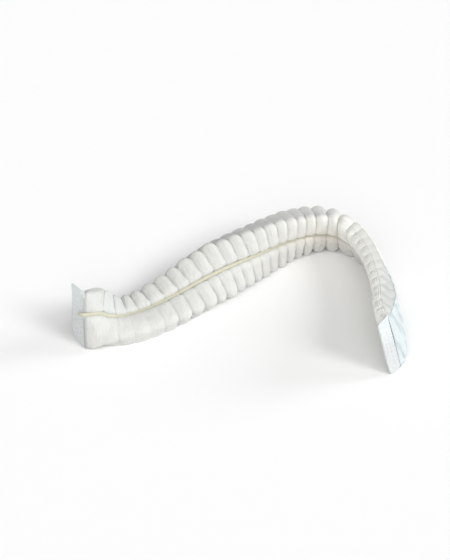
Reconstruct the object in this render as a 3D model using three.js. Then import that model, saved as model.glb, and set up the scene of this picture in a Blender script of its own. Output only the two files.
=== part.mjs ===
// A disposable bouffant cap in the form it is stored and handed out in: the cap's
// sheet is folded lengthwise like an accordion into a narrow strip, gathered into
// ribs across the strip by an elastic along its middle, and pressed flat and welded
// at both ends. The strip lies in a hook: its left part lies back on one edge, and it
// twists until its right part stands on edge and bends towards the viewer. Each weld
// is turned on its joint like a page.
// Millimetres, +Z up, origin at the centre of the footprint on the floor.

import * as THREE from 'three';

// ---- Driving sizes -------------------------------------------------------------

const WELD_WIDTH = 27;          // across the strip: a little wider than the pleats
const WELD_THICKNESS = 1.1;     // all plies pressed into one plate
const GAP = 0.3;                // kept between neighbouring pieces

const HALF_THICKNESS = 4;       // the pleated strip, where it is full
const PINCHED = 0.9;            // its half thickness where it enters a weld
const PUFF_LENGTH = 6;          // from pinched to full

const ROWS_PER_RIB = 4;         // sections that draw one rib
const RIB_DEPTH = 1.6;          // how far a groove sinks below the ribs' crests
const SCALLOP_DEPTH = 1.3;      // how far a groove cuts into either flank
const SMOOTH_RELIEF = 0.3;      // share of the relief left on the stretched near lobe
const SMOOTH_UNTIL = 30;        // the near lobe is stretched smooth up to here
const RIBBED_FROM = 62;         // and fully ribbed from here on

const ELASTIC_WIDTH = 2;
const ELASTIC_THICKNESS = 0.9;
const ELASTIC_ONTO_WELD = 2;    // it runs onto each weld for this length
const ELASTIC_STEP = 2.6;
const SEAT = 0.5;               // height of the elastic's groove, as a share of half thickness

const FLOOR_PRESS = 0.35;       // the lowest edge is flattened by this much where it rests

// ---- How the strip lies ----------------------------------------------------------
// One row for each station from the left joint to the right one. x, y: the strip's near
// edge, seen from above. lean: degrees from lying flat and face up (0) to standing on
// edge with its face to the inside of the bend (90). half: half width. drift: how far
// the elastic sits off the middle, towards the far edge where negative. fan: how far
// the back plies are splayed out at the far edge. ribs: how many ribs lie to the left.

const STATIONS = [
  { x: -61.4, y: -25.3, lean: 84, half: 13.3, drift: -3.3, fan: 0, ribs: 0 },
  { x: -56.4, y: -26.1, lean: 62, half: 11.7, drift: -2.4, fan: 0, ribs: 0.65 },
  { x: -51.4, y: -26.2, lean: 34, half: 10.7, drift: -0.7, fan: 0, ribs: 1.5 },
  { x: -44.5, y: -25.0, lean: 13, half: 11.1, drift: 0.3, fan: 0, ribs: 2.5 },
  { x: -35.0, y: -21.2, lean: 7, half: 11, drift: -0.3, fan: 0, ribs: 4 },
  { x: -25.2, y: -15.1, lean: 13, half: 11.1, drift: 0, fan: 0, ribs: 5.7 },
  { x: -14.2, y: -6.9, lean: 26, half: 11.5, drift: 0, fan: 0, ribs: 7.8 },
  { x: -2.7, y: 3.9, lean: 50, half: 12, drift: 0, fan: 0.3, ribs: 10.5 },
  { x: 8.1, y: 16.3, lean: 74, half: 12, drift: 0, fan: 1, ribs: 13.7 },
  { x: 19.3, y: 28.7, lean: 90, half: 12, drift: 0, fan: 1.6, ribs: 17.2 },
  { x: 31.3, y: 36.8, lean: 100, half: 11.5, drift: 0, fan: 1.2, ribs: 20.15 },
  { x: 43.9, y: 37.9, lean: 108, half: 11.3, drift: 0, fan: 0.2, ribs: 21.9 },
  { x: 54.3, y: 29.7, lean: 113, half: 11.3, drift: 0, fan: 0, ribs: 23.35 },
  { x: 60.1, y: 16.3, lean: 113, half: 11.7, drift: 0, fan: 0, ribs: 25.5 },
  { x: 62.3, y: 0.3, lean: 110, half: 12, drift: 0, fan: 0.3, ribs: 28.3 },
  { x: 63.2, y: -13.7, lean: 109, half: 12.2, drift: 0, fan: 1.9, ribs: 31 },
  { x: 63.1, y: -23.7, lean: 109, half: 12.5, drift: 0, fan: 2.8, ribs: 32.9 },
  { x: 63.0, y: -31.2, lean: 107, half: 13, drift: 0, fan: 0.5, ribs: 34.4 },
  { x: 62.8, y: -37.0, lean: 105, half: 13.3, drift: 0, fan: 0, ribs: 36 },
];

// The two ends. outward: +1 where the weld goes on in the strip's direction, -1 where it
// goes back. length: along the strip. crease: degrees by which the weld turns from the
// strip. farCorner, nearCorner: radii of the outer corners.

const LEFT_END = { outward: -1, length: 7, crease: 41, farCorner: 0.6, nearCorner: 4.5 };
const RIGHT_END = { outward: 1, length: 6, crease: 42, farCorner: 1.5, nearCorner: 2.5 };

// ---- Section -------------------------------------------------------------------
// One side of the strip cut across, from the elastic's groove over the lobe of the
// face, round the three folds of the flank and onto the back. across: 0 in the middle,
// 1 at the flank. up: +1 on the face, -1 on the back, as a share of the half thickness.
// Between two folds a slit of the accordion runs in as a thin wedge to its closed end.

const SLIT_END = 0.15;

const FLANK = [
  { across: 0.13, up: 0.55 },
  { across: 0.27, up: 0.9 },
  { across: 0.5, up: 1 },
  { across: 0.76, up: 0.94 },
  { across: 0.93, up: 0.74 },
  { across: 1, up: 0.4 },
  { across: 0.98, up: 0 },
  { across: 0.92, up: -0.2 },
  { across: SLIT_END, up: -0.26 },
  { across: 0.92, up: -0.32 },
  { across: 0.98, up: -0.45 },
  { across: 0.93, up: -0.56 },
  { across: SLIT_END, up: -0.6 },
  { across: 0.93, up: -0.66 },
  { across: 0.97, up: -0.8 },
  { across: 0.85, up: -0.95 },
  { across: 0.4, up: -1 },
];

// The whole section, once round, far flank (across below 0) first.
const SECTION = [
  { across: 0, up: SEAT },
  ...FLANK.map(({ across, up }) => ({ across: -across, up })),
  { across: 0, up: -0.9 },
  ...FLANK.toReversed(),
];

// ---- Materials -----------------------------------------------------------------

const nonwoven = new THREE.MeshStandardMaterial({ color: 0xf1efea, roughness: 0.85, metalness: 0 });
const welded = new THREE.MeshStandardMaterial({ color: 0xe6eaec, roughness: 0.55, metalness: 0 });
const elastic = new THREE.MeshStandardMaterial({ color: 0xd8cfb4, roughness: 0.7, metalness: 0 });

// ---- The strip's own coordinates -------------------------------------------------

const UP = new THREE.Vector3(0, 0, 1);
const FINE_STEPS = 1800;
const { clamp, degToRad, smoothstep } = THREE.MathUtils;

const mix = (a, b, share) => a + (b - a) * share;
const mixRows = (a, b, share) =>
  Object.fromEntries(Object.keys(a).map((key) => [key, mix(a[key], b[key], share)]));

// The station with that number. Beyond either end the table goes on in a straight line.
function knot(number) {
  const inside = clamp(number, 0, STATIONS.length - 1);
  if (inside === number) {
    return STATIONS[number];
  }
  const neighbour = inside === 0 ? 1 : inside - 1;
  return mixRows(STATIONS[neighbour], STATIONS[inside], 2);
}

// The table read smoothly at t, counted in stations: between two stations each column is
// a cubic whose slope at either one is half the step between that station's neighbours.
function between(t) {
  const first = Math.min(Math.floor(t), STATIONS.length - 2);
  const w = t - first;
  const [before, a, b, after] = [first - 1, first, first + 1, first + 2].map(knot);
  const cubic = (key) => {
    const startSlope = (b[key] - before[key]) / 2;
    const endSlope = (after[key] - a[key]) / 2;
    const step = b[key] - a[key];
    return a[key] + w * (startSlope + w * (3 * step - 2 * startSlope - endSlope
      + w * (startSlope + endSlope - 2 * step)));
  };
  return Object.fromEntries(Object.keys(a).map((key) => [key, cubic(key)]));
}

// The same table in fine steps, each with its distance along the near edge.
const FINE = [];
for (let k = 0; k <= FINE_STEPS; k++) {
  const row = between(k / FINE_STEPS * (STATIONS.length - 1));
  const last = FINE.at(-1);
  const distance = last ? last.distance + Math.hypot(row.x - last.x, row.y - last.y) : 0;
  FINE.push({ ...row, distance });
}

const STRIP_LENGTH = FINE.at(-1).distance;
const RIBS = STATIONS.at(-1).ribs;

// The fine table read where one of its rising columns, such as distance, has that value.
function readWhere(column, value) {
  const found = FINE.findIndex((row) => row[column] >= value);
  const after = clamp(found < 0 ? FINE_STEPS : found, 1, FINE_STEPS);
  const [a, b] = [FINE[after - 1], FINE[after]];
  const row = mixRows(a, b, clamp((value - a[column]) / (b[column] - a[column]), 0, 1));
  const along = new THREE.Vector3(b.x - a.x, b.y - a.y, 0).normalize();
  return { ...row, along };
}

// How the strip stands at a distance along it: its middle, the directions along, across
// (towards the near edge) and out of the face, and its local sizes.
function stationAt(distance) {
  const row = readWhere('distance', distance);
  const inside = new THREE.Vector3().crossVectors(row.along, UP);
  const angle = degToRad(row.lean);
  const face = UP.clone().multiplyScalar(Math.cos(angle)).addScaledVector(inside, Math.sin(angle));
  const across = inside.clone().multiplyScalar(Math.cos(angle)).addScaledVector(UP, -Math.sin(angle));
  const centre = new THREE.Vector3(row.x, row.y, 0).addScaledVector(across, -row.half);
  return { ...row, centre, across, face, thick: halfThickness(distance) };
}

// Half thickness: pinched at the welds, full from PUFF_LENGTH on.
function halfThickness(distance) {
  const fromEnd = Math.min(distance, STRIP_LENGTH - distance);
  return mix(PINCHED, HALF_THICKNESS, Math.sqrt(clamp(fromEnd / PUFF_LENGTH, 0, 1)));
}

// How far the fan moves a point of the section back: only the back of the far flank.
function fanned(station, { across, up }) {
  return station.fan * clamp((-up - 0.2) / 0.6, 0, 1) * clamp(-across, 0, 1) ** 1.5;
}

// A point of the strip from its place across and out of the face, in millimetres.
function place(station, across, out) {
  return station.centre.clone()
    .addScaledVector(station.across, across)
    .addScaledVector(station.face, out);
}

// Raises a station until its lowest edge rests on the floor, pressed in a little.
function restOnFloor(station) {
  station.centre.z = 0;
  const heights = SECTION.map((point) =>
    place(station, point.across * station.half, point.up * station.thick).z);
  station.centre.z = -FLOOR_PRESS - Math.min(...heights);
  return station;
}

// ---- Pieces --------------------------------------------------------------------

// 0 in the groove between two ribs and 1 on a rib's crest: an arch from groove to groove.
const ribCrest = (ribs) => Math.abs(Math.sin(Math.PI * ribs));

// Share of the relief that shows: the near lobe is stretched smooth near the left weld.
function reliefShare(distance, across) {
  const near = mix(SMOOTH_RELIEF, 1, smoothstep(distance, SMOOTH_UNTIL, RIBBED_FROM));
  return mix(1, near, (1 + across) / 2);
}

function sectionRow(distance) {
  const station = restOnFloor(stationAt(distance));
  const groove = (1 - ribCrest(station.ribs)) * station.thick / HALF_THICKNESS;
  return SECTION.map((point) => {
    const sink = groove * reliefShare(distance, point.across);
    const side = point.across * (station.half - SCALLOP_DEPTH * sink);
    const shift = station.drift * (1 - Math.abs(point.across));
    const out = point.up * (station.thick - RIB_DEPTH * sink) - fanned(station, point);
    const vertex = place(station, side + shift, out);
    vertex.z = Math.max(vertex.z, 0);
    return vertex;
  });
}

// Joins rows of points, each once round, into one closed skin with flat ends.
function skin(rows, outline) {
  const around = rows[0].length;
  const positions = rows.flat().flatMap((vertex) => vertex.toArray());
  const indices = [];
  for (let row = 0; row < rows.length - 1; row++) {
    for (let k = 0; k < around; k++) {
      const here = row * around + k;
      const next = row * around + (k + 1) % around;
      indices.push(here, next + around, next, here, here + around, next + around);
    }
  }
  const last = (rows.length - 1) * around;
  for (const [a, b, c] of THREE.ShapeUtils.triangulateShape(outline, [])) {
    indices.push(a, b, c, last + a, last + c, last + b);
  }
  const geometry = new THREE.BufferGeometry();
  geometry.setAttribute('position', new THREE.Float32BufferAttribute(positions, 3));
  geometry.setIndex(indices);
  geometry.computeVertexNormals();
  return geometry;
}

function piece(name, geometry, material) {
  const mesh = new THREE.Mesh(geometry, material);
  mesh.name = name;
  return mesh;
}

// The accordion of plies with its ribs, from joint to joint.
function pleatedBody() {
  const rows = [];
  for (let row = 0; row <= RIBS * ROWS_PER_RIB; row++) {
    rows.push(sectionRow(readWhere('ribs', row / ROWS_PER_RIB).distance));
  }
  const outline = SECTION.map(({ across, up }) => new THREE.Vector2(across, up));
  return piece('pleated_body', skin(rows, outline), nonwoven);
}

// How a weld stands: turned on the joint by its crease, and lowered onto the floor. Both
// directions are turned about the one that runs across the strip.
function weldStation({ outward, length, crease }) {
  const joint = restOnFloor(stationAt(outward < 0 ? 0 : STRIP_LENGTH));
  const turn = new THREE.Quaternion().setFromAxisAngle(joint.across, degToRad(crease));
  const along = joint.along.clone().applyQuaternion(turn).multiplyScalar(outward);
  const face = joint.face.clone().applyQuaternion(turn);
  const weld = { ...joint, along, face };
  const foot = place(weld, WELD_WIDTH / 2, 0);
  weld.centre.z -= Math.min(foot.z, foot.z + length * along.z);
  return weld;
}

// A flat band that lies in the groove along the middle of the face. Its two ends go round
// the creases and onto the welds.
function elasticBand() {
  const corners = [[-1, 0], [1, 0], [1, 1], [-1, 1]];
  const row = (station, beyond, seat, stretch = 1) => corners.map(([side, top]) =>
    place(station, station.drift + side * ELASTIC_WIDTH / 2, (seat + top * ELASTIC_THICKNESS) * stretch)
      .addScaledVector(station.along, beyond));
  const weldSeat = WELD_THICKNESS / 2 + GAP;
  const onWeld = (end) => row(weldStation(end), ELASTIC_ONTO_WELD, weldSeat);
  const inCrease = (end) => {
    const joint = restOnFloor(stationAt(end.outward < 0 ? 0 : STRIP_LENGTH));
    const half = degToRad(end.crease) / 2;
    const turn = new THREE.Quaternion().setFromAxisAngle(joint.across, half);
    const mitre = { ...joint, face: joint.face.clone().applyQuaternion(turn) };
    return row(mitre, 0, PINCHED * SEAT + GAP, 1 / Math.cos(half));
  };
  const steps = Math.round(STRIP_LENGTH / ELASTIC_STEP);
  const rows = [onWeld(LEFT_END), inCrease(LEFT_END)];
  for (let step = 1; step < steps; step++) {
    const station = restOnFloor(stationAt(STRIP_LENGTH * step / steps));
    rows.push(row(station, 0, SEAT * 1.06 * station.thick + GAP));
  }
  rows.push(inCrease(RIGHT_END), onWeld(RIGHT_END));
  const outline = corners.map(([side, top]) => new THREE.Vector2(side, top));
  return piece('elastic_band', skin(rows, outline), elastic);
}

// A pressed end: a flat plate with rounded outer corners. It starts far enough from the
// joint to clear the strip's end where it turns.
function endWeld(name, end) {
  const w = WELD_WIDTH / 2;
  const { length, farCorner, nearCorner, outward } = end;
  const crease = degToRad(end.crease);
  const start = (GAP + WELD_THICKNESS / 2 * Math.sin(crease)) / Math.cos(crease);
  const outline = new THREE.Shape()
    .moveTo(start, -w)
    .lineTo(length - farCorner, -w)
    .absarc(length - farCorner, -w + farCorner, farCorner, -Math.PI / 2, 0)
    .absarc(length - nearCorner, w - nearCorner, nearCorner, 0, Math.PI / 2)
    .lineTo(start, w);
  const geometry = new THREE.ExtrudeGeometry(outline, {
    depth: WELD_THICKNESS, bevelEnabled: false, curveSegments: 5,
  });
  geometry.translate(0, 0, -WELD_THICKNESS / 2);
  const mesh = piece(name, geometry, welded);
  const weld = weldStation(end);
  const normal = new THREE.Vector3().crossVectors(weld.along, weld.across);
  mesh.quaternion.setFromRotationMatrix(new THREE.Matrix4().makeBasis(weld.along, weld.across, normal));
  mesh.position.copy(weld.centre);
  mesh.position.z -= new THREE.Box3().setFromObject(mesh, true).min.z;
  return mesh;
}

const cap = new THREE.Group();
cap.name = 'bouffant_cap';
cap.add(pleatedBody());
cap.add(elasticBand());
cap.add(endWeld('left_end_weld', LEFT_END));
cap.add(endWeld('right_end_weld', RIGHT_END));

export default cap;
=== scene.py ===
# %% [markdown]
# # A bouffant cap in its strip form
#
# A disposable hair cap is handed out as a narrow strip. Its thin nonwoven sheet is
# folded lengthwise like an accordion, an elastic along the middle gathers the folds
# into ribs, and both ends are pressed flat and welded. This lesson dresses the packed
# CAD model of such a strip: one cell explains a piece or a finish, the next one makes it.
# All lengths in the tables are millimetres, and a mesh is scaled to metres when it is made.

# %% Load the frame
import math
from collections import namedtuple

import bpy
import numpy as np
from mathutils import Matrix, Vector


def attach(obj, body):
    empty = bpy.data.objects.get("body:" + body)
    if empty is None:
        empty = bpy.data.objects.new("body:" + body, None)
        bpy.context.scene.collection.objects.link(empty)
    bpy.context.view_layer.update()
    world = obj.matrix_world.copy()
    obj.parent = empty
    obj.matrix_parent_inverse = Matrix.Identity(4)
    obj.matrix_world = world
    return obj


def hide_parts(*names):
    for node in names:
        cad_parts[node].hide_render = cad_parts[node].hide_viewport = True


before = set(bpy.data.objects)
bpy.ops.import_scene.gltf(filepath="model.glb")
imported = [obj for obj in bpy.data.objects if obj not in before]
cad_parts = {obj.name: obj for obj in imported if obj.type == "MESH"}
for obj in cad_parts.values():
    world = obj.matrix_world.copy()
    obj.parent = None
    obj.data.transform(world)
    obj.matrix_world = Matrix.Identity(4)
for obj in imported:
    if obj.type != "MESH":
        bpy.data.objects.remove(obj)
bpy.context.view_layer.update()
MM = 0.001
print("frame:", sorted(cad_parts))

# %% [markdown]
# ## The view
#
# The strip is seen from in front and from above, through a long lens, so that the
# perspective is weak. A camera could be tracked to a target by a constraint, but
# a fixed place and turn is easier to read and to repeat: it looks along +Y,
# turned down by its elevation, from a stated distance to a point on the floor.

# %% Camera
ELEVATION = math.radians(40)
VIEW_DISTANCE = 0.62
LOOK_AT = Vector((-0.0056, 0.0162, 0))
LENS = 94.9

camera = bpy.data.objects.new("camera", bpy.data.cameras.new("camera"))
bpy.context.scene.collection.objects.link(camera)
bpy.context.scene.camera = camera
camera.data.lens = LENS
camera.data.clip_start = 0.01
camera.location = LOOK_AT + VIEW_DISTANCE * Vector((0, -math.cos(ELEVATION), math.sin(ELEVATION)))
camera.rotation_euler = (math.pi / 2 - ELEVATION, 0, 0)
print("camera at", tuple(round(x, 3) for x in camera.location))

# %% [markdown]
# ## The light
#
# A white thing on a white floor shows only through its shading. Large soft boxes light
# such a thing in a studio. They stand so far away, for something this small, that a sun
# lamp with a wide disc does the same and lights the floor evenly. The front light is the
# strongest and models the ribs from above the camera. The right one has the smallest disc
# and gives the clear edge of the shadow inside the bend, the low one throws the long pale
# shadow to the left, and the weak left one fills the shaded faces. The world
# gives the rest. Area lamps would make the same shadows, but the floor would fade towards
# its corners. The colours are shown with the plain Standard transform, because
# a film-like one would turn the white floor grey.

# %% Lights and world
WORLD_STRENGTH = 0.3
LIGHTS = (
    # name, direction it comes from, disc in degrees, strength, colour
    ("front", (-0.08, -0.68, 0.73), 60, 1.49, (1, 0.995, 0.98)),
    ("right", (0.66, -0.42, 0.62), 22, 1.4, (1, 0.995, 0.985)),
    ("low_right", (0.90, 0.24, 0.36), 25, 1.15, (0.95, 0.98, 1)),
    ("left", (-0.85, -0.45, 0.35), 60, 0.43, (1, 0.985, 0.95)),
)


def soft_light(name, direction, disc, strength, colour):
    """A sun lamp with a wide disc, turned to shine from that direction."""
    light = bpy.data.lights.new(name, "SUN")
    light.angle = math.radians(disc)
    light.energy = strength
    light.color = colour
    lamp = bpy.data.objects.new(name, light)
    bpy.context.scene.collection.objects.link(lamp)
    lamp.rotation_euler = Vector(direction).to_track_quat("Z", "Y").to_euler()


for entry in LIGHTS:
    soft_light(*entry)
world = bpy.data.worlds.new("studio")
bpy.context.scene.world = world
world.use_nodes = True
world.node_tree.nodes["Background"].inputs["Color"].default_value = (0.98, 0.99, 1, 1)
world.node_tree.nodes["Background"].inputs["Strength"].default_value = WORLD_STRENGTH
bpy.context.scene.view_settings.view_transform = "Standard"
print("lights:", ", ".join(entry[0] for entry in LIGHTS), "and the world")

# %% [markdown]
# ## Meshes from arrays
#
# Every piece here is a surface worked out with numpy: a grid of points, one row for
# each step along the strip and one column for each step across. The same few
# helpers turn such grids into meshes. A thin sheet could get its thickness from
# a Solidify modifier, but then its thickness could not fade out where the
# plies are pressed into the welds, so a helper moves the grid both ways itself.

# %% Grid helpers
def grid_quads(rows, columns, closed=False):
    """Corner numbers of a grid's faces, counter-clockwise seen from the side that
    row direction x column direction points to; closed joins the last column to the first."""
    index = np.arange(rows * columns).reshape(rows, columns)
    if closed:
        index = np.hstack([index, index[:, :1]])
    return np.stack([index[:-1, :-1], index[1:, :-1], index[1:, 1:], index[:-1, 1:]], -1).reshape(-1, 4)


def normals_of(points):
    """Unit normals of a grid: its row direction crossed with its column direction."""
    normal = np.cross(np.gradient(points, axis=0), np.gradient(points, axis=1))
    return normal / np.linalg.norm(normal, axis=-1, keepdims=True)


def two_skins(front, back):
    """The vertices and quads of a closed shell between two grids of one shape: the front, the back
    with its faces turned round, and a strip of faces around the border."""
    rows, columns = front.shape[:2]
    count = rows * columns
    index = np.arange(count).reshape(rows, columns)
    border = np.concatenate([index[:-1, 0], index[-1, :-1], index[:0:-1, -1], index[0, :0:-1]])
    after = np.roll(border, -1)
    rim = np.stack([border, border + count, after + count, after], -1)
    outer = grid_quads(rows, columns)
    vertices = np.concatenate([front.reshape(-1, 3), back.reshape(-1, 3)])
    return vertices, np.concatenate([outer, outer[:, ::-1] + count, rim])


def thickened(points, thickness):
    """The shell of a sheet: each point moved half the thickness along its normal, both ways."""
    half = normals_of(points) * np.asarray(thickness)[..., None] / 2
    return two_skins(points + half, points - half)


def volume_of(vertices, quads):
    """Signed volume inside a mesh of quads: positive if the faces point outwards."""
    a, b, c, d = (vertices[quads[:, k]] for k in range(4))
    return (np.einsum("ij,ij->i", a, np.cross(b, c)) + np.einsum("ij,ij->i", a, np.cross(c, d))).sum() / 6


test_grid = np.stack(np.meshgrid(np.arange(3.0), np.arange(4.0), [0.0], indexing="ij"), -1)[:, :, 0]
test_shell = thickened(test_grid, np.ones(test_grid.shape[:2]))
print(f"a sheet of 2 x 3 x 1 mm has {len(test_shell[1])} faces and {volume_of(*test_shell):.0f} mm3 inside")

# %% [markdown]
# ## From arrays to an object
#
# A mesh datablock takes its points and faces as lists, and everything else in bulk: the
# smooth flags, the flat coordinates of the cloth, and any number that a material has to
# know at each point. All pieces are made by this one helper, so that they are scaled and
# measured alike.

# %% Objects from arrays
def make_piece(name, vertices, quads, caps=(), uv=None, **shares):
    """A smooth-shaded mesh object at the origin, its vertices scaled from millimetres. Each share is
    a number for every vertex that a material can read by name."""
    mesh = bpy.data.meshes.new(name)
    mesh.from_pydata(vertices * MM, [], quads.tolist() + [list(cap) for cap in caps])
    mesh.polygons.foreach_set("use_smooth", np.ones(len(mesh.polygons), bool))
    if uv is not None:
        corner = np.empty(len(mesh.loops), np.int32)
        mesh.loops.foreach_get("vertex_index", corner)
        mesh.uv_layers.new(name="cloth").uv.foreach_set("vector", uv[corner].astype(np.float32).ravel())
    for share, values in shares.items():
        values = values.astype(np.float32).ravel()
        mesh.attributes.new(share, "FLOAT", "POINT").data.foreach_set("value", values)
    mesh.update()
    piece = bpy.data.objects.new(name, mesh)
    bpy.context.scene.collection.objects.link(piece)
    triangles = sum(len(face.vertices) - 2 for face in mesh.polygons)
    print(f"{name}: {triangles} triangles, {volume_of(vertices, quads):.0f} mm3")
    return piece


print("a mesh is scaled by", MM)

# %% [markdown]
# ## How the strip lies
#
# The strip is drawn by stations from one joint to the other: where its near edge is on the
# floor, how far it leans from lying face up (0 degrees) to standing on edge (90
# degrees), its half width, how far the elastic has drifted off the middle, how far the
# back plies are fanned out, and how many ribs lie to the left. The table repeats the CAD
# model's, so that the cloth lies exactly where the solid is.

# %% Stations
STATIONS = np.array([
    # x, y, lean, half, drift, fan, ribs
    (-61.4, -25.3, 84, 13.3, -3.3, 0, 0),
    (-56.4, -26.1, 62, 11.7, -2.4, 0, 0.65),
    (-51.4, -26.2, 34, 10.7, -0.7, 0, 1.5),
    (-44.5, -25.0, 13, 11.1, 0.3, 0, 2.5),
    (-35.0, -21.2, 7, 11, -0.3, 0, 4),
    (-25.2, -15.1, 13, 11.1, 0, 0, 5.7),
    (-14.2, -6.9, 26, 11.5, 0, 0, 7.8),
    (-2.7, 3.9, 50, 12, 0, 0.3, 10.5),
    (8.1, 16.3, 74, 12, 0, 1, 13.7),
    (19.3, 28.7, 90, 12, 0, 1.6, 17.2),
    (31.3, 36.8, 100, 11.5, 0, 1.2, 20.15),
    (43.9, 37.9, 108, 11.3, 0, 0.2, 21.9),
    (54.3, 29.7, 113, 11.3, 0, 0, 23.35),
    (60.1, 16.3, 113, 11.7, 0, 0, 25.5),
    (62.3, 0.3, 110, 12, 0, 0.3, 28.3),
    (63.2, -13.7, 109, 12.2, 0, 1.9, 31),
    (63.1, -23.7, 109, 12.5, 0, 2.8, 32.9),
    (63.0, -31.2, 107, 13, 0, 0.5, 34.4),
    (62.8, -37.0, 105, 13.3, 0, 0, 36),
])
RIBS = int(STATIONS[-1, 6])
print(len(STATIONS), "stations and", RIBS, "ribs")

# %% [markdown]
# ## A smooth curve through the stations
#
# Between the stations everything changes smoothly. A Bezier curve object could do it for
# the places, but the lean, the widths and the ribs need the same curve, so a formula
# reads whole rows of the table. Two more helpers describe soft changes: a step, and a
# bell for what happens only near one place.

# %% Curve, step and bell
def through(knots, t):
    """A smooth (uniform Catmull-Rom) curve through the knots' rows, read at t from 0 to 1:
    between two knots a cubic whose slope at each knot is half the step between its neighbours."""
    knots = np.asarray(knots, float)
    around = np.concatenate([2 * knots[:1] - knots[1:2], knots, 2 * knots[-1:] - knots[-2:-1]])
    place = np.clip(t, 0, 1) * (len(knots) - 1)
    i = np.minimum(place.astype(int), len(knots) - 2)
    w = (place - i).reshape(i.shape + (1,) * (knots.ndim - 1))
    a, b, c, d = (around[i + k] for k in range(4))
    return b + 0.5 * w * (c - a + w * (2 * a - 5 * b + 4 * c - d + w * (3 * (b - c) + d - a)))


def smoothstep(low, high, x):
    """0 below low, 1 above high, and a soft S between them."""
    t = np.clip((np.asarray(x, float) - low) / (high - low), 0, 1)
    return t * t * (3 - 2 * t)


def bell(x, middle, width):
    """1 at the middle, and fading to 0 on both sides: the exponential of minus the squared distance
    counted in widths."""
    return np.exp(-((x - middle) / width) ** 2)


FINE = through(STATIONS, np.linspace(0, 1, 2401))
DISTANCE = np.concatenate([[0], np.cumsum(np.hypot(*np.diff(FINE[:, :2], axis=0).T))])
STRIP_LENGTH = DISTANCE[-1]
print(f"strip {STRIP_LENGTH:.1f} mm long between its joints")

# %% [markdown]
# ## How a ply runs across the strip
#
# Cut across, the sheet is a zigzag. From the rim under the elastic it rises over one
# lobe of the face, turns round the first and thickest fold of the flank, goes back in,
# and so on through three folds to the back, which is one wide ply. The other side is its
# mirror image. A true accordion of eighteen plies would be far too fine to draw, so each
# ply here stands for three. The table gives one side, and `cuts` says how finely each
# stretch is drawn.

# %% The zigzag
PLY = np.array([
    # across, up, cuts
    (0.03, 0.36, 2),
    (0.08, 0.46, 3),
    (0.13, 0.78, 3),
    (0.27, 0.96, 3),
    (0.52, 1.00, 3),
    (0.76, 0.95, 3),
    (0.93, 0.76, 3),
    (1.00, 0.40, 3),
    (0.99, 0.00, 3),
    (0.965, -0.22, 1),
    (0.70, -0.23, 2),
    (0.25, -0.23, 2),
    (0.15, -0.26, 2),
    (0.25, -0.29, 2),
    (0.70, -0.29, 1),
    (0.965, -0.30, 3),
    (0.98, -0.43, 3),
    (0.965, -0.57, 1),
    (0.70, -0.58, 2),
    (0.25, -0.58, 2),
    (0.15, -0.61, 2),
    (0.25, -0.64, 2),
    (0.70, -0.64, 1),
    (0.965, -0.65, 3),
    (0.975, -0.80, 3),
    (0.86, -0.94, 3),
    (0.40, -1.00, 3),
    (0.00, -0.94, 3),
])


def zigzag():
    """Both sides of the sheet's path across the strip, far side first, as columns across and up."""
    cuts = PLY[:-1, 2].astype(int)
    t = np.concatenate([i + np.arange(n) / n for i, n in enumerate(cuts)] + [[len(cuts)]]) / len(cuts)
    side = through(PLY[:, :2], t)
    far = side * (-1, 1)
    return np.concatenate([far, side[-2::-1]])


def cloth_width(across, up):
    """Millimetres of cloth in a zigzag for a strip 24 mm wide and 8 mm thick."""
    return np.hypot(12 * np.diff(across), 4 * np.diff(up)).sum()


ACROSS, UP = zigzag().T
SIDE = np.sign(ACROSS)
print(f"the zigzag has {len(ACROSS)} points, {cloth_width(ACROSS, UP):.0f} mm of cloth")

# %% [markdown]
# ## The strip's own directions
#
# A point of the strip is given by its distance along it, its place across and its
# height out of the face. To put it in the room, one fine table holds the middle line and
# the three directions at every step, and any grid of points reads it by interpolation.
# The middle is lifted until the lowest edge of the cut rests on the floor.

# %% From strip to room
HALF_THICKNESS = 4
PINCHED = 0.9
PUFF_LENGTH = 6
FLOOR_PRESS = 0.35


def half_thickness(s):
    """Pinched at the welds, full from the puff length on, rising like a square root."""
    inside = np.clip(np.minimum(s, STRIP_LENGTH - s) / PUFF_LENGTH, 0, 1)
    return PINCHED + (HALF_THICKNESS - PINCHED) * np.sqrt(inside)


def fine_frames():
    """Columns: place (3), along (3), across (3), face (3), half width, drift, fan, half thickness."""
    heading = np.gradient(FINE[:, :2], DISTANCE, axis=0)
    heading /= np.linalg.norm(heading, axis=1, keepdims=True)
    flat = np.zeros(len(FINE))
    along = np.column_stack([heading, flat])
    inside = np.column_stack([heading[:, 1], -heading[:, 0], flat])
    lean = np.radians(FINE[:, 2:3])
    upright = np.array([0, 0, 1.0])
    face = np.cos(lean) * upright + np.sin(lean) * inside
    across = np.cos(lean) * inside - np.sin(lean) * upright
    half, thick = FINE[:, 3], half_thickness(DISTANCE)
    heights = np.outer(half * across[:, 2], ACROSS) + np.outer(thick * face[:, 2], UP)
    middle = FINE[:, :2] - half[:, None] * across[:, :2]
    place = np.column_stack([middle, -FLOOR_PRESS - heights.min(axis=1)])
    return np.column_stack([place, along, across, face, half, FINE[:, 4:6], thick])


FRAMES = fine_frames()
Spot = namedtuple("Spot", "place along across face half drift fan thick")


def strip_at(s):
    """How the strip stands at distances s of any shape: its middle, directions and local sizes."""
    values = np.stack([np.interp(s, DISTANCE, column) for column in FRAMES.T], -1)
    return Spot(*np.split(values[..., :12], 4, axis=-1), *np.moveaxis(values[..., 12:], -1, 0))


def in_room(s, side, out):
    """Points at s along, side across (towards the near edge) and out of the face."""
    spot = strip_at(s)
    return spot.place + spot.across * side[..., None] + spot.face * out[..., None]


print("middle of the strip is", round(float(strip_at(STRIP_LENGTH / 2).place[2]), 2), "mm above the floor")

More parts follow.
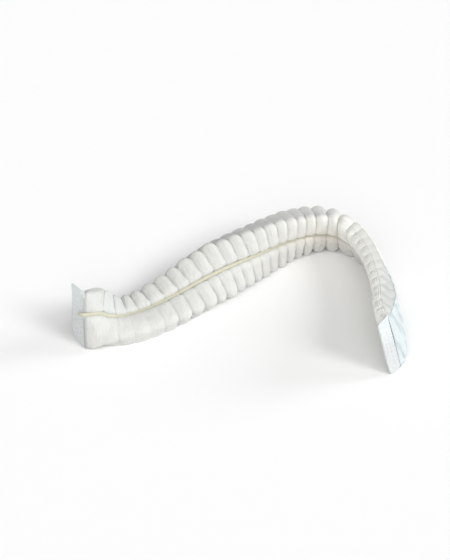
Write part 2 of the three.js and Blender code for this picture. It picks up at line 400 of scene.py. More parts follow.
# %% [markdown]
# ## Ribs
#
# The elastic draws the cloth together, so it stands up in ribs across the strip: each one
# an arch from groove to groove. No two are alike. A cloth simulation of such tight
# gathers would take hours, and its ribs would fall where they like, so the arches
# are a formula here, and seeded random numbers vary their width, height, tilt and reach.

# %% Rib rows
RIB_STEPS = np.array([0, 0.05, 0.12, 0.22, 0.35, 0.5, 0.65, 0.78, 0.88, 0.95])
WIDTH_SPREAD = 0.02

random = np.random.default_rng(11)
groove_number = np.arange(RIBS + 1.0)
groove_number[1:-1] += WIDTH_SPREAD * random.standard_normal(RIBS - 1)
grooves = np.interp(groove_number, FINE[:, 6], DISTANCE)

rib_of_row = np.concatenate([np.repeat(np.arange(RIBS), len(RIB_STEPS)), [RIBS - 1]])
share_of_row = np.concatenate([np.tile(RIB_STEPS, RIBS), [1.0]])
print(f"{RIBS} ribs, {np.diff(grooves).min():.1f} to {np.diff(grooves).max():.1f} mm wide")

# %% [markdown]
# ## Numbers for every rib
#
# Each rib and each groove gets its own random numbers, which change softly across the
# strip and are blended from one groove to the next along it. A noise texture could
# displace the sheet as well, but it knows nothing of where a rib begins.

# %% Uneven numbers
def uneven(count, spread, knots=9):
    """Smooth random numbers over the zigzag's columns, one column of knots for each rib or groove."""
    table = spread * random.standard_normal((knots, count))
    return through(table, np.linspace(0, 1, len(ACROSS))).T


def between_grooves(values):
    """Reads values given at the grooves at every row, blended from one groove to the next."""
    share = share_of_row[:, None]
    return values[rib_of_row] * (1 - share) + values[rib_of_row + 1] * share


print(f"the sheet has {len(rib_of_row)} rows of {len(ACROSS)} points")

# %% [markdown]
# ## Open and shut folds
#
# At the left the folds of the far flank stand apart with slits between them. Further on
# the plies lie tight, so the drawn zigzag goes straight past the slits there. One
# mesh can't have fewer columns at one end, so the same columns slide onto the
# straight lines instead.

# %% Zigzag along the strip
SHUT_FROM = 40, 90
# Heights in the zigzag, as shares of the half thickness.
SLITS_BELOW = -0.1
MIDDLE_FOLD = -0.43
BACK_BELOW = -0.7


def drawn_path(s):
    """The zigzag as it is drawn at distances s: straight lines replace the slits of the far flank
    where the plies lie tight. Gives across and up, one row for each distance."""
    columns = np.arange(len(ACROSS))
    on_fold = np.abs(UP - MIDDLE_FOLD) < 0.01
    kept = (UP > SLITS_BELOW) | on_fold | (UP < BACK_BELOW - 0.05) | (SIDE > 0)
    tight_across, tight_up = (np.interp(columns, columns[kept], x[kept]) for x in (ACROSS, UP))
    tight = smoothstep(*SHUT_FROM, s)
    return ACROSS + (tight_across - ACROSS) * tight, UP + (tight_up - UP) * tight


for s in SHUT_FROM:
    print(f"at {s} mm the zigzag holds {cloth_width(*drawn_path(s)):.0f} mm of cloth")

# %% [markdown]
# ## Where the ribs are faint
#
# Near the left weld the ribs of the near side are only hints, because the weld still
# holds the plies flat. On the far side the lower folds hardly follow the ribs, except at
# the tips of the bend, and along the last leg the far side keeps a third of the relief.
# A share of the full relief, worked out from the distance and the height, says all of
# this.

# %% Share of the relief
# Places and widths along the strip, in millimetres from the left joint.
SMOOTH_UNTIL = 24
RIBBED_FROM = 54
FAR_TIPS_AT = 128
FAR_TIPS_WIDTH = 14
LEG_FROM = 130, 155
SMOOTH_RELIEF = 0.14
LOWER_FOLDS = 0.3
LEG_RELIEF = 0.35


def relief_share(s):
    """How much of the ribs' relief there is. On the near side it grows out of the left weld. On the far
    side it fades below the face, but not at the tips of the bend, and it fades along the last leg."""
    near_side = SMOOTH_RELIEF + (1 - SMOOTH_RELIEF) * smoothstep(SMOOTH_UNTIL, RIBBED_FROM, s)
    below_face = smoothstep(0.4, -0.1, UP) * (1 - bell(s, FAR_TIPS_AT, FAR_TIPS_WIDTH))
    far_side = 1 - (1 - LOWER_FOLDS) * below_face
    return np.where(SIDE > 0, near_side, far_side * (1 - (1 - LEG_RELIEF) * smoothstep(*LEG_FROM, s)))


for s in (SMOOTH_UNTIL, FAR_TIPS_AT, LEG_FROM[1]):
    share = relief_share(s)
    print(f"at {s} mm the relief is {share.min():.2f} to {share.max():.2f} of the full one")

# %% [markdown]
# ## The fan and its leaves
#
# Along the last leg the back plies fan out, and the edges of their leaves run obliquely
# over the flank towards the right weld. The fan and the leaves are sums added to the
# same grid, because separate leaves would need a join to the sheet that the real cap
# doesn't have.

# %% Fan and leaves
STREAK_DEPTH = 0.14
STREAK_PITCH = 2.6
STREAK_SLOPE = 0.42
STREAKS_FROM = 168, 190


def leaf_relief(s, spot, path, up, fullness):
    """How far the fan spreads the back plies, and how deep the edges of its leaves are: a triangle wave
    of the way over the flank and the back plus a share of the distance along."""
    spread = spot.fan * smoothstep(0, 0.9, -up) * np.clip(-path, 0, 1) ** 1.5
    over_back = -HALF_THICKNESS - (1 - np.abs(path)) * spot.half
    way = np.where(UP < BACK_BELOW, over_back, HALF_THICKNESS * up) - spread
    wave = (way + (s - STREAKS_FROM[0]) * STREAK_SLOPE) / STREAK_PITCH
    depth = STREAK_DEPTH * fullness * smoothstep(*STREAKS_FROM, s)
    return spread, depth * (1 - np.abs(2 * (wave % 1) - 1))


print(f"the back plies fan out by up to {FINE[:, 5].max():.1f} mm")

# %% [markdown]
# ## The pleated sheet
#
# Now the zigzag is carried along the strip, and the gathers shape it on the way. The
# relief sinks the grooves below the ribs' crests, deepest near the flanks. The scallops
# pull each groove in and push each rib's tip out at the flanks, and they open at the
# inside of the bend. The feet are the ribs' rounded ends against the elastic, and one
# more groove runs along the left joint, where the sheet is pressed.

# %% Sheet formula
RIB_DEPTH = 2.1
DEPTH_AT_ELASTIC = 0.7
SCALLOP_IN = 2.0
TIP_SPREAD = 0.25
DEPTH_SPREAD = 0.12
WANDER = 0.18
FOOT_REACH = 0.5
FOOT_AT = 0.12
FOOT_WIDTH = 0.06
ARCH_AT_MIDDLE = 0.5
ARCH_AT_FLANK = 0.6
JOINT_GROOVE = 0.5
OPEN_AT_BEND = 0.8
SHEET_THICKNESS = 0.3
# Places and widths along the strip, in millimetres from the left joint.
JOINT_GROOVE_AT = 1.9
JOINT_GROOVE_WIDTH = 0.6
BEND_AT = 118
OPEN_WIDTH = 16


def sheet_points():
    """The sheet's grid. Along: distance s of each row plus a small wander. Across: across x half width,
    less the scallop in a groove, plus the reach of a tip. Out: up x (half thickness - depth x groove)."""
    wander = uneven(RIBS + 1, WANDER)
    wander[[0, -1]] = 0
    s = between_grooves(np.repeat(grooves[:, None], len(ACROSS), 1)) + between_grooves(wander)
    spot = strip_at(s)
    fullness = (spot.thick - PINCHED) / (HALF_THICKNESS - PINCHED)

    path, up = drawn_path(s)
    reach = np.abs(path)
    flank = smoothstep(0.45, 1, reach)
    sharpness = ARCH_AT_MIDDLE + (ARCH_AT_FLANK - ARCH_AT_MIDDLE) * flank
    arch = np.sin(np.pi * share_of_row)[:, None].clip(0) ** sharpness
    groove = 1 - arch
    share = relief_share(s)

    depth = DEPTH_AT_ELASTIC + (RIB_DEPTH - DEPTH_AT_ELASTIC) * smoothstep(0.12, 0.5, reach)
    depth = depth * (1 + between_grooves(uneven(RIBS + 1, DEPTH_SPREAD)))
    crest = uneven(RIBS, DEPTH_SPREAD)[rib_of_row]
    soft_thick = PINCHED + (HALF_THICKNESS - PINCHED) * fullness ** 1.6
    thick = np.where((UP < 0) & (s > STRIP_LENGTH / 2), soft_thick, spot.thick)
    spread, streak = leaf_relief(s, spot, path, up, fullness)
    out = up * (thick - share * fullness * (depth * groove - crest * arch))
    out = out - spread - streak * (UP < BACK_BELOW)
    out = out - JOINT_GROOVE * bell(s, JOINT_GROOVE_AT, JOINT_GROOVE_WIDTH) * up.clip(0)

    tips = uneven(RIBS, TIP_SPREAD)[rib_of_row] * arch
    foot = FOOT_REACH * (arch - 0.5) * bell(reach, FOOT_AT, FOOT_WIDTH) * (UP > 0.4)
    scallop = SCALLOP_IN * groove * (1 + between_grooves(uneven(RIBS + 1, DEPTH_SPREAD)))
    scallop = scallop * (1 + OPEN_AT_BEND * bell(s, BEND_AT, OPEN_WIDTH) * (SIDE > 0))
    side = path * spot.half - SIDE * share * fullness * (flank * (scallop - tips) + foot)
    side = side - streak * (path < -0.9) * (UP < 0.5) + spot.drift * (1 - reach)
    points = in_room(s, side, out)
    points[..., 2] = np.maximum(points[..., 2], SHEET_THICKNESS / 2)
    return points, spot.thick


sheet_grid, sheet_thick = sheet_points()
print(f"the sheet reaches {sheet_grid[..., 2].max():.1f} mm above the floor")

# %% [markdown]
# ## The cloth laid flat
#
# Fibres, bond points and small creases belong to the cloth and follow it round every
# fold. They need coordinates on the flat cloth. An unwrap would cut it into islands,
# but the grid is already a rectangle, and its steps only have to be measured.

# %% Flat coordinates
def cloth_coordinates(points):
    """Where each point lies on the cloth when it is laid flat, in millimetres: the mean length
    of the rows' steps one way, of the columns' steps the other."""
    along = np.linalg.norm(np.diff(points, axis=0), axis=-1).mean(axis=1)
    across = np.linalg.norm(np.diff(points, axis=1), axis=-1).mean(axis=0)
    u, v = (np.concatenate([[0], np.cumsum(step)]) for step in (along, across))
    return np.stack(np.meshgrid(u, v, indexing="ij"), -1)


sheet_uv = cloth_coordinates(sheet_grid)
FLAT_LENGTH, FLAT_WIDTH = sheet_uv[-1, -1]
print(f"flat cloth drawn: {FLAT_WIDTH:.0f} by {FLAT_LENGTH:.0f} mm")

# %% [markdown]
# ## Folds in the shade
#
# Where folds lie close, each one shades the next. The light in the render does most of
# this, but the real plies are three times as many and darken the flank more than the
# drawn ones do. So a share marks the folds that lie in one another's shade, and the
# finish darkens them.

# %% Shaded folds
SHADE_FROM = 20, 90
SHADE_SINKS = 118, 142
SHADE_UNTIL = 150, 125
NEAR_SHADE = 0.35
NEAR_SHADE_FROM = 60, 100
NEAR_SHADE_WIDTH = 18
# Painted shade: a dark line in the pinched groove along the left joint.
JOINT_SHADE = 1.5
JOINT_SHADE_AT = 1
JOINT_SHADE_WIDTH = 0.8
FLANK_TURNS = 0.86, 0.96


def shaded_folds(s, path, up, flank):
    """The folds in one another's shade, darkened by painted shade: the far flank's up to the bend, lower
    and lower past it, the near flank's towards the bend, and a painted shade line in the pinched
    groove along the left joint."""
    shaded_below = 0.8 - 1.4 * smoothstep(*SHADE_SINKS, s)
    far = smoothstep(*FLANK_TURNS, -path) * np.clip((shaded_below - up) / 0.5, 0, 1)
    far = far * (0.25 + 0.75 * smoothstep(*SHADE_FROM, s)) * smoothstep(*SHADE_UNTIL, s)
    near = smoothstep(*NEAR_SHADE_FROM, s) + bell(s, BEND_AT, NEAR_SHADE_WIDTH)
    near = NEAR_SHADE * near * flank * (SIDE > 0)
    # Painted shade line in the pinched groove along the left joint.
    joint = JOINT_SHADE * bell(s, JOINT_SHADE_AT, JOINT_SHADE_WIDTH)
    return np.maximum(np.maximum(far, near), joint)


print(f"the far flank is shaded from {SHADE_FROM[0]} to {SHADE_UNTIL[0]} mm")

# %% [markdown]
# ## Where the sheet changes its look
#
# The mesh carries shares, numbers on its vertices that tell the finish what it can't know
# from the shape alone. `plies` marks the places where the edges of many plies show as
# fine lines. Four more paint light and shade into the colour: painted shade on the folds
# that lie in one another's shade and along the left joint, a painted warm glow from the
# elastic on the face round the bend, a cool light from the right painted as a bluish,
# darker tint on the fanned leaves, the first ribs and the left joint, and painted light
# on the upper half and the back. `leaf` counts the leaves over the flank and the back,
# and `leaves` says where their edges show as painted shade lines. `open_cloth` keeps the
# fine grain out of the shut slits. Painted textures could do the same, but formulas of
# the strip's own distances stay in place if a size changes.

# %% Sheet shares
PLIES_SHOW = 160, 180
# Painted light: from here on the upper half and the back are lightened, where the lamps reach them too
# little.
PAINTED_LIGHT_FROM = 70, 150
# Painted light: a warm glow from the elastic on the face round the bend.
ELASTIC_GLOW_AT = 124
ELASTIC_GLOW_WIDTH = 16
# Painted light: a cool light from the right, painted as a bluish, darker tint on the fanned leaves, the far
# flank of the last leg, the first ribs and the left joint.
FAN_COOL_LIGHT_FROM = 166, 190
FLANK_COOL_LIGHT = 0.25
FIRST_RIBS_AT = 16
FIRST_RIBS_WIDTH = 8
FIRST_RIBS_COOL_LIGHT = 0.25
JOINT_COOL_LIGHT = 0.3
LEAF_TURN = 1.8


def sheet_shares():
    """Every share by name, on the sheet's grid."""
    s = np.interp(sheet_uv[:, :1, 0], [0, FLAT_LENGTH], [0, STRIP_LENGTH])
    path, up = drawn_path(s)
    flank = smoothstep(*FLANK_TURNS, np.abs(path)) * smoothstep(0.8, 0.3, up)
    on_back = np.broadcast_to(UP < BACK_BELOW, path.shape)
    back = np.maximum(smoothstep(-0.9, -0.97, path) * smoothstep(0.1, -0.3, up), on_back)
    fanned = smoothstep(*FAN_COOL_LIGHT_FROM, s) * back
    # Painted cool light on the fanned leaves and on the first ribs of the far side.
    first_ribs_cool_light = FIRST_RIBS_COOL_LIGHT * bell(s, FIRST_RIBS_AT, FIRST_RIBS_WIDTH) * (SIDE < 0)
    cool = fanned * np.where(on_back, 1, FLANK_COOL_LIGHT) + first_ribs_cool_light
    way = np.where(on_back, -HALF_THICKNESS + LEAF_TURN * (1 + path), HALF_THICKNESS * up)
    in_slit = (UP < SLITS_BELOW) & (UP > BACK_BELOW - 0.05) & (SIDE < 0)
    return {
        "plies": np.maximum(flank, smoothstep(*PLIES_SHOW, s) * back),
        # Painted shade on the folds in one another's shade and along the left joint.
        "painted_shade": shaded_folds(s, path, up, flank),
        # Painted light: a warm glow from the elastic on the face round the bend.
        "warm": bell(ACROSS, 0, 0.5) * (UP > 0) * bell(s, ELASTIC_GLOW_AT, ELASTIC_GLOW_WIDTH),
        # Painted cool light: the fanned leaves, the first ribs and the left joint tinted bluish and darker.
        "cool": np.maximum(cool, JOINT_COOL_LIGHT * smoothstep(1.8, 1.2, s)),
        # Painted light on the upper half and the back, a little more where the leaves fan out.
        "pale": smoothstep(*PAINTED_LIGHT_FROM, s) * ((path < 0.1) | on_back) * (1 + 0.25 * fanned),
        # Where the painted shade lines along the leaves' edges show.
        "leaves": fanned * np.where(on_back, 1, 0.5),
        "leaf": (way + (s - STREAKS_FROM[0]) * STREAK_SLOPE) / STREAK_PITCH,
        "open_cloth": 1 - in_slit * smoothstep(*SHUT_FROM, s),
    }


shares = sheet_shares()
print("shares:", ", ".join(shares))

# %% [markdown]
# ## The sheet as a mesh
#
# The grid gets its thickness here, thinner towards the welds, where the plies are
# pressed together. Each share goes onto both skins, so that the inside of a fold has the
# tint of its outside.

# %% Sheet mesh
def on_both_skins(values):
    """The same value on either skin of the sheet."""
    return np.tile(np.broadcast_to(values, sheet_grid.shape[:2]), (2, 1))


sheet_vertices, sheet_quads = thickened(sheet_grid, SHEET_THICKNESS * sheet_thick / HALF_THICKNESS)
sheet = make_piece("pleated_sheet", sheet_vertices, sheet_quads,
                   uv=np.tile(sheet_uv.reshape(-1, 2), (2, 1)),
                   **{name: on_both_skins(values) for name, values in shares.items()})

# %% [markdown]
# ## Dots and corners of the welds
#
# At each end all plies are pressed and melted into one thin stiff plate. The welding
# tool leaves rows of small round dots in it, and the plate's outer corners are rounded.
# The dots are a smooth bowl round each point of a staggered grid, and a circle's arc
# draws the corners in. Cutting them with Boolean modifiers would leave long thin faces.

# %% Dots and corners
WELD_WIDTH = 27
DOT_PITCH = 2.15
DOT_ROWS = 0.87 * DOT_PITCH
DOT_RADIUS = 0.6

End = namedtuple("End", "outward length crease far_corner near_corner")
LEFT_END = End(-1, 7, 41, 0.6, 4.5)
RIGHT_END = End(1, 6, 42, 1.5, 2.5)


def dots(x, y):
    """1 in the middle of a dot and 0 outside, by the distance to the nearest point of a grid whose
    every other row is shifted."""
    row = np.round(x / DOT_ROWS)
    shift = (row % 2) / 2
    column = np.round(y / DOT_PITCH - shift) + shift
    away = np.hypot(x - row * DOT_ROWS, y - column * DOT_PITCH)
    return 1 - smoothstep(0.45 * DOT_RADIUS, DOT_RADIUS, away)


def weld_outline(end, x, y):
    """Draws the width in at the outer corners: past the corner's start it follows a circle's arc."""
    radius = np.where(y < 0, end.far_corner, end.near_corner)
    past = np.clip(x - (end.length - radius), 0, radius)
    drawn_in = radius - np.sqrt(radius ** 2 - past ** 2)
    return y * (1 - drawn_in / (WELD_WIDTH / 2))


print(f"dots {2 * DOT_RADIUS:.1f} mm wide, in rows {DOT_ROWS:.2f} mm apart")

# %% [markdown]
# ## The crease at a joint
#
# Stiff plate and soft folds meet at the joint, and the cloth bends there. A hinge line
# would be too sharp, so the turn grows softly over a short bend, and the plate's points
# are placed along that line.

# %% Bend
ONTO_SHEET = 0.7
BEND_LENGTH = 1.6


def bent(end, x):
    """The line a weld follows as it leaves the joint: the turn grows softly to the crease over the
    bend's length. Gives how far it has run along, how far it has risen, and the turn."""
    turn = math.radians(end.crease) * smoothstep(-ONTO_SHEET, BEND_LENGTH, x)
    steps = np.gradient(x, axis=0)
    run, rise = np.cumsum(steps * np.cos(turn), axis=0), np.cumsum(steps * np.sin(turn), axis=0)
    return x[0] + run - run[0], end.outward * (rise - rise[0]), turn


def joint_of(end):
    """How the strip stands at that end's joint."""
    return strip_at(0.0 if end.outward < 0 else STRIP_LENGTH)


def weld_points(end, x, side, out):
    """Points x beyond the joint, side across and out of the weld's own face."""
    spot = joint_of(end)
    run, rise, turn = (values[..., None] for values in bent(end, x))
    out = out[..., None]
    return (spot.place + spot.across * side[..., None] + spot.face * (rise + out * np.cos(turn))
            + spot.along * (end.outward * run - out * np.sin(turn)))


print(f"the welds turn by {LEFT_END.crease} and {RIGHT_END.crease} degrees")

# %% [markdown]
# ## The weld plates
#
# Each plate is one closed skin, a fine grid for each face. The dots are real dents in
# both faces, the plies run into it as low ridges, and it bows a little, as pressed
# cloth does.

# %% Weld plates
WELD_THICKNESS = 1.1
WELD_STEP = 0.16
DOT_MARGIN = 1.1
DOT_DEPTH = 0.2
PLY_RIDGE = 0.12
PLY_RIDGE_PITCH = 1.4
THIN_EDGE = 0.35
BOW = 0.25


def weld_piece(name, end):
    """A plate from the joint outwards, both faces dented by dots and ridged by the plies that run in."""
    steps_x = round((end.length + ONTO_SHEET) / WELD_STEP)
    steps_y = round(WELD_WIDTH / WELD_STEP)
    x, y = np.meshgrid(np.linspace(-ONTO_SHEET, end.length, steps_x),
                       np.linspace(-WELD_WIDTH / 2, WELD_WIDTH / 2, steps_y), indexing="ij")
    dent = DOT_DEPTH * dots(x - DOT_MARGIN, y)
    ridge = PLY_RIDGE * np.sin(2 * np.pi * y / PLY_RIDGE_PITCH) * (1 - smoothstep(-0.5, 2.2, x))
    edge = smoothstep(0, THIN_EDGE, end.length - x) * smoothstep(0, THIN_EDGE, WELD_WIDTH / 2 - np.abs(y))
    bow = BOW * np.sin(2 * np.pi * y / WELD_WIDTH + 0.6) * np.clip(x, 0, None) / end.length
    half = WELD_THICKNESS / 2 * (0.55 + 0.25 * edge) - dent
    width = weld_outline(end, x, y)
    front = weld_points(end, x, width, bow + half + ridge)
    back = weld_points(end, x, width, bow - half + ridge)
    if end.outward > 0:
        front, back = back, front
    vertices, quads = two_skins(front, back)
    vertices[:, 2] -= vertices[:, 2].min()
    uv = np.concatenate([np.stack([x, y], -1).reshape(-1, 2)] * 2)
    return make_piece(name, vertices, quads, uv=uv)


left_weld = weld_piece("left_weld", LEFT_END)
right_weld = weld_piece("right_weld", RIGHT_END)

# %% [markdown]
# ## The elastic
#
# A flat band of elastic lies in the groove between the two lobes, bonded to the sheet
# under tension. It is one closed profile, slightly crowned with three threads, carried along
# the strip's middle. It could be a bevelled curve, but the profile would turn
# with the curve's own twist, whereas here it follows the strip's directions.

# %% Elastic band
ELASTIC_WIDTH = 1.5
ELASTIC_THICKNESS = 0.6
ELASTIC_ONTO_WELD = 1.5
SEAT = 0.38
SEAT_GAP = 0.25
THREADS = 3
THREAD_RELIEF = 0.06
ELASTIC_STEP = 0.5
PROFILE_POINTS = 28


def elastic_piece():
    """A rounded rectangle carried along the groove, its top waved by the threads. Its two ends go
    round the bends and onto the welds."""
    turn = np.linspace(0, 2 * np.pi, PROFILE_POINTS, endpoint=False)
    wide = np.sign(np.cos(turn)) * np.abs(np.cos(turn)) ** 0.5
    high = np.sign(np.sin(turn)) * np.abs(np.sin(turn)) ** 0.6
    top = ELASTIC_THICKNESS / 2 * (1 + high) + THREAD_RELIEF * np.cos(np.pi * THREADS * wide) * (high > 0)
    side = ELASTIC_WIDTH / 2 * wide
    s = np.linspace(ELASTIC_STEP, STRIP_LENGTH - ELASTIC_STEP, round(STRIP_LENGTH / ELASTIC_STEP) - 1)
    spot = strip_at(s)
    seat = np.maximum(SEAT * spot.thick, WELD_THICKNESS / 2) + SEAT_GAP
    rows = in_room(np.repeat(s[:, None], PROFILE_POINTS, 1), spot.drift[:, None] + side, seat[:, None] + top)

    def onto(end):
        beyond = np.arange(0, ELASTIC_ONTO_WELD + 0.1, ELASTIC_STEP)
        x, out = np.meshgrid(beyond, WELD_THICKNESS / 2 + SEAT_GAP + top, indexing="ij")
        return weld_points(end, x, np.broadcast_to(joint_of(end).drift + side, x.shape), out)

    rows = np.concatenate([onto(LEFT_END)[::-1], rows, onto(RIGHT_END)])
    caps = (range(PROFILE_POINTS), range(rows.shape[0] * PROFILE_POINTS - 1,
                                         (rows.shape[0] - 1) * PROFILE_POINTS - 1, -1))
    quads = grid_quads(rows.shape[0], PROFILE_POINTS, closed=True)
    distance = np.arange(len(rows)) * ELASTIC_STEP
    uv = np.stack(np.meshgrid(distance, side, indexing="ij"), -1).reshape(-1, 2)
    return make_piece("elastic", rows.reshape(-1, 3), quads, caps, uv=uv)


elastic = elastic_piece()

# %% [markdown]
# ## Writing materials as expressions
#
# A node tree is arithmetic drawn as boxes. To keep it readable, one small class wraps a
# socket and lets Python's own operators add the Math nodes, so that a pattern is
# written as a formula.

# %% Sockets with operators
class Wire:
    """A number that flows through a material: +, - and * add Math nodes."""

    def __init__(self, finish, socket):
        self.finish = finish
        self.socket = socket

    def maths(self, operation, *values):
        return self.finish.node("ShaderNodeMath", {"operation": operation}, dict(enumerate(values)))

    def __add__(self, other):
        return self.maths("ADD", self, other)

    def __radd__(self, other):
        return self.maths("ADD", other, self)

    def __sub__(self, other):
        return self.maths("SUBTRACT", self, other)

    def __rsub__(self, other):
        return self.maths("SUBTRACT", other, self)

    def __mul__(self, other):
        return self.maths("MULTIPLY", self, other)

    def __rmul__(self, other):
        return self.maths("MULTIPLY", other, self)

    def cosine(self):
        return self.maths("COSINE", self)

    def ramp(self, low, high):
        """0 below low and 1 above high, with a soft S between them."""
        return self.finish.node("ShaderNodeMapRange", {"interpolation_type": "SMOOTHSTEP"},
                                {"Value": self, "From Min": low, "From Max": high})


print("a wire knows", ", ".join(name for name in vars(Wire) if not name.startswith("_")))

# %% [markdown]
# ## One shader for each finish
#
# Every finish here is one Principled shader with some of its sockets fed by patterns.
# All nodes come from one method, which takes the node's type, its settings and its
# inputs, and the operators above use it too. The same tree could be drawn by hand in
# the Shader Editor, but it would be harder to read than a formula.

# %% Finish
class Finish:
    """A material with one Principled shader, whose constants are set by name."""

    def __init__(self, name, **constants):
        self.material = bpy.data.materials.new(name)
        self.material.use_nodes = True
        self.tree = self.material.node_tree
        self.shader = self.tree.nodes["Principled BSDF"]
        for key, value in constants.items():
            self.shader.inputs[key.replace("_", " ")].default_value = value

    def node(self, kind, settings=None, inputs=None, output=0):
        """Adds a node: settings are its properties, inputs are values or wires by socket name or number."""
        made = self.tree.nodes.new(kind)
        for key, value in (settings or {}).items():
            setattr(made, key, value)
        for key, value in (inputs or {}).items():
            if isinstance(value, Wire):
                self.tree.links.new(value.socket, made.inputs[key])
            else:
                made.inputs[key].default_value = value
        return Wire(self, made.outputs[output])

    def feed(self, name, wire):
        self.tree.links.new(wire.socket, self.shader.inputs[name])

    def share(self, name):
        """A share stored on the mesh's vertices."""
        return self.node("ShaderNodeAttribute", {"attribute_name": name}, {}, "Fac")

    def blend(self, share, first, second):
        """A colour between two colours, by a wire's share."""
        return self.node("ShaderNodeMix", {"data_type": "RGBA"}, {0: share, 6: first, 7: second}, 2)

    def bump(self, height, distance, strength=1.0):
        """Feeds the shader's normal with a bump of that height, in metres."""
        self.feed("Normal", self.node("ShaderNodeBump", {}, {
            "Height": height, "Distance": distance, "Strength": strength}))


print("a finish knows", ", ".join(name for name in vars(Finish) if not name.startswith("_")))

# %% [markdown]
# ## Nonwoven
#
# The cloth is spunbonded polypropylene: a web of fine fibres with no weave, pressed
# together at small bond points. Close up one sees the points as rows of tiny dimples, the
# fibres as a fine random grain, and a cloudy look where the web is thicker
# or thinner. The patterns read the cloth's own flat coordinates, so they follow every
# fold, and the shares stored on the mesh paint light and shade into the colour step by step on top of them.
# Small soft creases run across the strip, along the ribs, because the gathers
# squeeze the cloth only lengthwise. They are a noise stretched four times across.

# %% Nonwoven finish
BOND_PITCH = 1.1
FIBRE = 0.12
CLOUD = 4.5
# Strength of the painted shade on the shaded folds and along the left joint.
EDGE_SHADE = 0.5
# Strength of the painted warm glow from the elastic.
ELASTIC_GLOW_TINT = 0.35
# Strength of the painted cool light from the right.
COOL_LIGHT_TINT = 0.85
# How strongly the painted light lightens the upper half and the back.
PAINTED_LIGHT_TINT = 0.8
LEAF_SHADE = 0.4
CREASE_SIZE = 1 / 1.1, 1 / 4.5, 1
CREASE_RELIEF = 16.0
PLY_PITCH = 0.8
FINE_RELIEF = 0.00006


def nonwoven_finish():
    """Grain and clouds tint the base colour a little, and grain and bond points make the bump."""
    finish = Finish("nonwoven", Roughness=0.8, Subsurface_Weight=0.25, Subsurface_Radius=(1, 0.95, 0.88),
                    Subsurface_Scale=0.0012, Sheen_Weight=0.15, Sheen_Roughness=0.5, Specular_IOR_Level=0.3)
    flat = finish.node("ShaderNodeUVMap", {"uv_map": "cloth"})
    clouds = finish.node("ShaderNodeTexNoise", {}, {"Vector": flat, "Scale": 1 / CLOUD, "Detail": 3.0})
    grain = finish.node("ShaderNodeTexNoise", {}, {
        "Vector": flat, "Scale": 1 / FIBRE, "Detail": 2.0, "Distortion": 1.5})
    lengthwise = finish.node("ShaderNodeSeparateXYZ", {}, {0: flat}, 0)
    crosswise = finish.node("ShaderNodeSeparateXYZ", {}, {0: flat}, 1)
    step = 2 * math.pi / BOND_PITCH
    wave = (lengthwise * step).cosine() * (crosswise * step).cosine()
    bond = wave.ramp(0.45, 0.85)
    thin = clouds.ramp(0.35, 0.75)
    colour = finish.blend(thin, (0.665, 0.662, 0.633, 1), (0.615, 0.618, 0.598, 1))
    # Painted light: the upper half and the back lightened towards a light cream.
    colour = finish.blend(finish.share("pale") * PAINTED_LIGHT_TINT, colour, (0.93, 0.925, 0.87, 1))
    # Painted light: a warm glow from the elastic round the bend.
    colour = finish.blend(finish.share("warm") * ELASTIC_GLOW_TINT, colour, (0.84, 0.71, 0.59, 1))
    # Painted light: a cool light from the right as a bluish, darker tint.
    colour = finish.blend(finish.share("cool") * COOL_LIGHT_TINT, colour, (0.59, 0.665, 0.69, 1))
    # Painted shade: the shaded folds and the left joint darkened.
    colour = finish.blend(finish.share("painted_shade") * EDGE_SHADE, colour, (0.30, 0.30, 0.31, 1))
    stretched = finish.node("ShaderNodeVectorMath", {"operation": "MULTIPLY"}, {0: flat, 1: CREASE_SIZE})
    creases = finish.node("ShaderNodeTexNoise", {}, {"Vector": stretched, "Scale": 1.0, "Detail": 2.0})
    leaf_edge = (finish.share("leaf") * (2 * math.pi)).cosine().ramp(0.2, 1) * finish.share("leaves")
    # Painted shade in the gaps along the leaves' edges.
    colour = finish.blend(leaf_edge * LEAF_SHADE, colour, (0.30, 0.40, 0.45, 1))
    finish.feed("Base Color", colour)
    stack = (crosswise * (2 * math.pi / PLY_PITCH)).cosine() * finish.share("plies")
    relief = grain * 0.6 - bond * 0.5 + stack * 2 - leaf_edge * 4 + creases * CREASE_RELIEF
    finish.bump(relief * finish.share("open_cloth"), FINE_RELIEF, 0.6)
    return finish.material


nonwoven = nonwoven_finish()
sheet.data.materials.append(nonwoven)
print(f"{nonwoven.name}: {len(nonwoven.node_tree.nodes)} nodes")

# %% [markdown]
# ## Welded plies and elastic
#
# Where the plies are melted together the cloth is denser, smoother and a little bluish,
# and it tints from a pale far half to a greyer near half. The elastic is a yellowish
# beige, matt and finely ribbed across its three threads.

# %% Weld and elastic finishes
MOTTLE_SCALE = 1.1
WELD_RELIEF = 0.00008
TONE_SCALE = 0.6
ELASTIC_RIB_PITCH = 0.45
ELASTIC_RELIEF = 0.00004


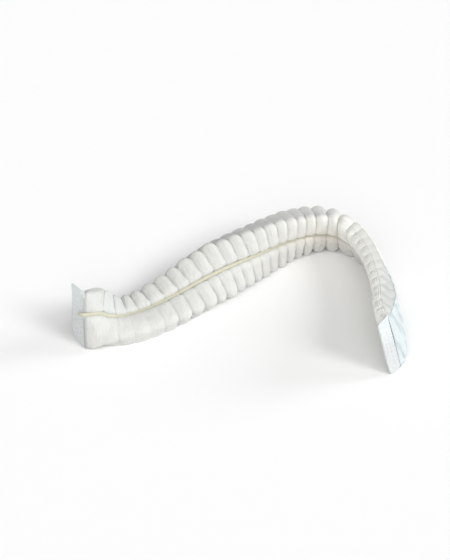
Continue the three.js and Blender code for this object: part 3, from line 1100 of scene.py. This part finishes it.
def weld_finish():
    """Smoother and cooler than the cloth, mottled where the plies melted unevenly."""
    finish = Finish("welded_plies", Roughness=0.5, Subsurface_Weight=0.3, Subsurface_Radius=(0.85, 0.95, 1),
                    Subsurface_Scale=0.0015, Specular_IOR_Level=0.4)
    flat = finish.node("ShaderNodeUVMap", {"uv_map": "cloth"})
    mottle = finish.node("ShaderNodeTexNoise", {}, {"Vector": flat, "Scale": MOTTLE_SCALE, "Detail": 4.0})
    across = finish.node("ShaderNodeSeparateXYZ", {}, {0: flat}, 1)
    far = finish.blend(mottle.ramp(0.35, 0.7), (0.62, 0.66, 0.675, 1), (0.70, 0.725, 0.73, 1))
    near = finish.blend(mottle.ramp(0.35, 0.7), (0.56, 0.575, 0.58, 1), (0.63, 0.645, 0.65, 1))
    finish.feed("Base Color", finish.blend(across.ramp(-9, 2), far, near))
    finish.bump(mottle, WELD_RELIEF, 0.5)
    return finish.material


def elastic_finish():
    """Beige, with fine ribs across the band."""
    finish = Finish("elastic", Roughness=0.6, Specular_IOR_Level=0.3)
    flat = finish.node("ShaderNodeUVMap", {"uv_map": "cloth"})
    along = finish.node("ShaderNodeSeparateXYZ", {}, {0: flat}, 0)
    ribs = (along * (2 * math.pi / ELASTIC_RIB_PITCH)).cosine()
    tone = finish.node("ShaderNodeTexNoise", {}, {"Vector": flat, "Scale": TONE_SCALE, "Detail": 2.0})
    beige = finish.blend(tone.ramp(0.3, 0.7), (0.53, 0.515, 0.395, 1), (0.59, 0.575, 0.465, 1))
    finish.feed("Base Color", beige)
    finish.bump(ribs, ELASTIC_RELIEF, 0.6)
    return finish.material


welded = weld_finish()
left_weld.data.materials.append(welded)
right_weld.data.materials.append(welded)
elastic.data.materials.append(elastic_finish())
print("finishes:", ", ".join(material.name for material in bpy.data.materials if material.users))

# %% [markdown]
# ## The floor
#
# The strip lies on a wide matt white sheet, which shows its shadows and runs out of the
# view on all sides. It belongs to the stage and not to the part.

# %% Floor
def studio_floor():
    """A wide matt white sheet under the strip."""
    reach = 3000
    corners = reach * np.array([[-1, -1, 0], [1, -1, 0], [1, 1, 0], [-1, 1, 0]], float)
    floor = make_piece("floor", corners, np.array([[0, 1, 2, 3]]))
    finish = Finish("studio_floor", Roughness=0.9, Base_Color=(0.9, 0.9, 0.9, 1), Specular_IOR_Level=0.2)
    floor.data.materials.append(finish.material)


studio_floor()

# %% [markdown]
# ## Into the frame
#
# Each piece rides on the part's one body and stands for its CAD solid, which is hidden.
# The real sheet has more and thinner plies.

# %% Ride and replace
for piece, node, slot in ((sheet, "pleated_body", "nonwoven"), (elastic, "elastic_band", "elastic"),
                          (left_weld, "left_end_weld", "weld"), (right_weld, "right_end_weld", "weld")):
    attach(piece, "root")
    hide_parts(node)
    print(f"{piece.name} stands for {node} and wears {slot}")
